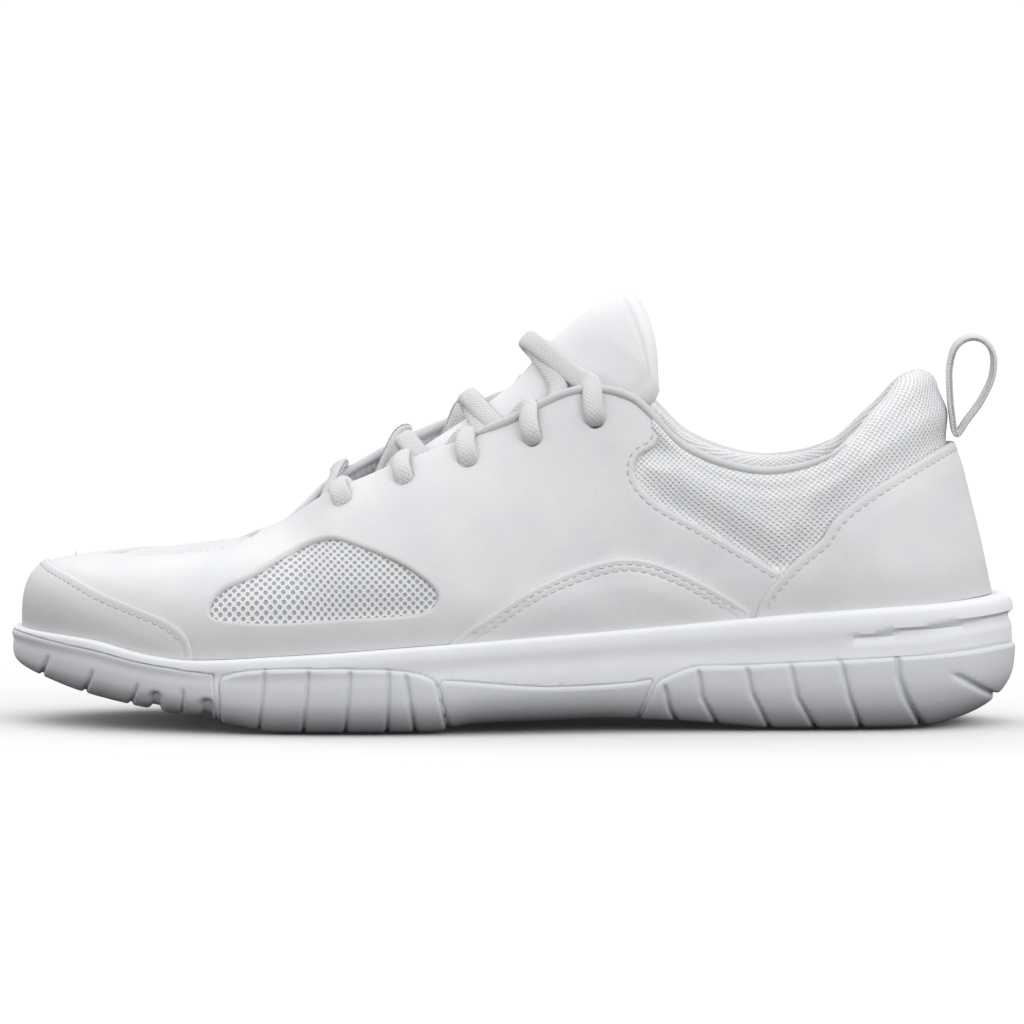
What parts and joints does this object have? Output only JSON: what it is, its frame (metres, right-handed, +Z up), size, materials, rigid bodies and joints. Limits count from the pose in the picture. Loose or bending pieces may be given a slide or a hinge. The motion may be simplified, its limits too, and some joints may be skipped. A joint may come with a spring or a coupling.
{
  "type": "cheer shoe",
  "caption": "Low-top cheer shoe with laces, padded collar, hinged tongue, lift-out sockliner, pull loop and grooved wrap-up outsole.",
  "frame": {"origin": "centre of the shoe's bounding box, on the ground under the tread", "axes": "+X from the toe to the heel, -Y to the lateral side, +Z up"},
  "size_m": [0.265, 0.0976, 0.1135],
  "materials": {
    "upper_leather": "semi-matt",
    "upper_mesh": "matt",
    "lining_fabric": "matt",
    "foam": "matt",
    "stiffener": "matt",
    "midsole_foam": "matt",
    "outsole_rubber": "matt",
    "webbing": "matt",
    "lace": "matt",
    "lace_tip": "gloss"
  },
  "bodies": {
    "shoe": {"midsole": "midsole_foam", "outsole_toe": "outsole_rubber", "outsole_forefoot": "outsole_rubber", "outsole_midfoot": "outsole_rubber", "outsole_heel_lateral": "outsole_rubber", "outsole_heel_medial": "outsole_rubber", "strobel_board": "stiffener", "vamp_lining": "lining_fabric", "collar_lining_lateral": "lining_fabric", "collar_lining_medial": "lining_fabric", "collar_foam": "foam", "heel_counter": "stiffener", "toe_puff": "stiffener", "eyestay_backer_lateral": "stiffener", "eyestay_backer_medial": "stiffener", "toe_box_mesh": "upper_mesh", "side_mesh_lateral": "upper_mesh", "side_mesh_medial": "upper_mesh", "collar_mesh_lateral": "upper_mesh", "collar_mesh_medial": "upper_mesh", "quarter_lateral": "upper_leather", "quarter_medial": "upper_leather", "toe_cap": "upper_leather", "arch_overlay_lateral": "upper_leather", "arch_overlay_medial": "upper_leather", "heel_overlay": "upper_leather", "collar_piping": "upper_leather", "shoelace": "lace", "lace_tip_lateral": "lace_tip", "lace_tip_medial": "lace_tip"},
    "tongue": {"tongue_cover": "upper_leather", "tongue_foam": "foam", "tongue_lining": "lining_fabric", "tongue_binding": "webbing"},
    "sockliner": {"sockliner": "foam"},
    "pull_loop": {"pull_loop": "webbing"}
  },
  "joints": [
    {"name": "tongue_swing", "type": "hinge", "parent": "shoe", "child": "tongue", "pos_m": [-0.069, 0, 0.041], "axis": [0, 1, 0], "range_deg": [0, 5], "stiffness_Nm_per_rad": 0.6},
    {"name": "sockliner_lift", "type": "hinge", "parent": "shoe", "child": "sockliner", "pos_m": [-0.1245, 0, 0.025], "axis": [0, -1, 0], "range_deg": [0, 0.75]},
    {"name": "pull_loop_swing", "type": "hinge", "parent": "shoe", "child": "pull_loop", "pos_m": [0.1174, 0, 0.0755], "axis": [0, 1, 0], "range_deg": [0, 55], "stiffness_Nm_per_rad": 0.02}
  ]
}
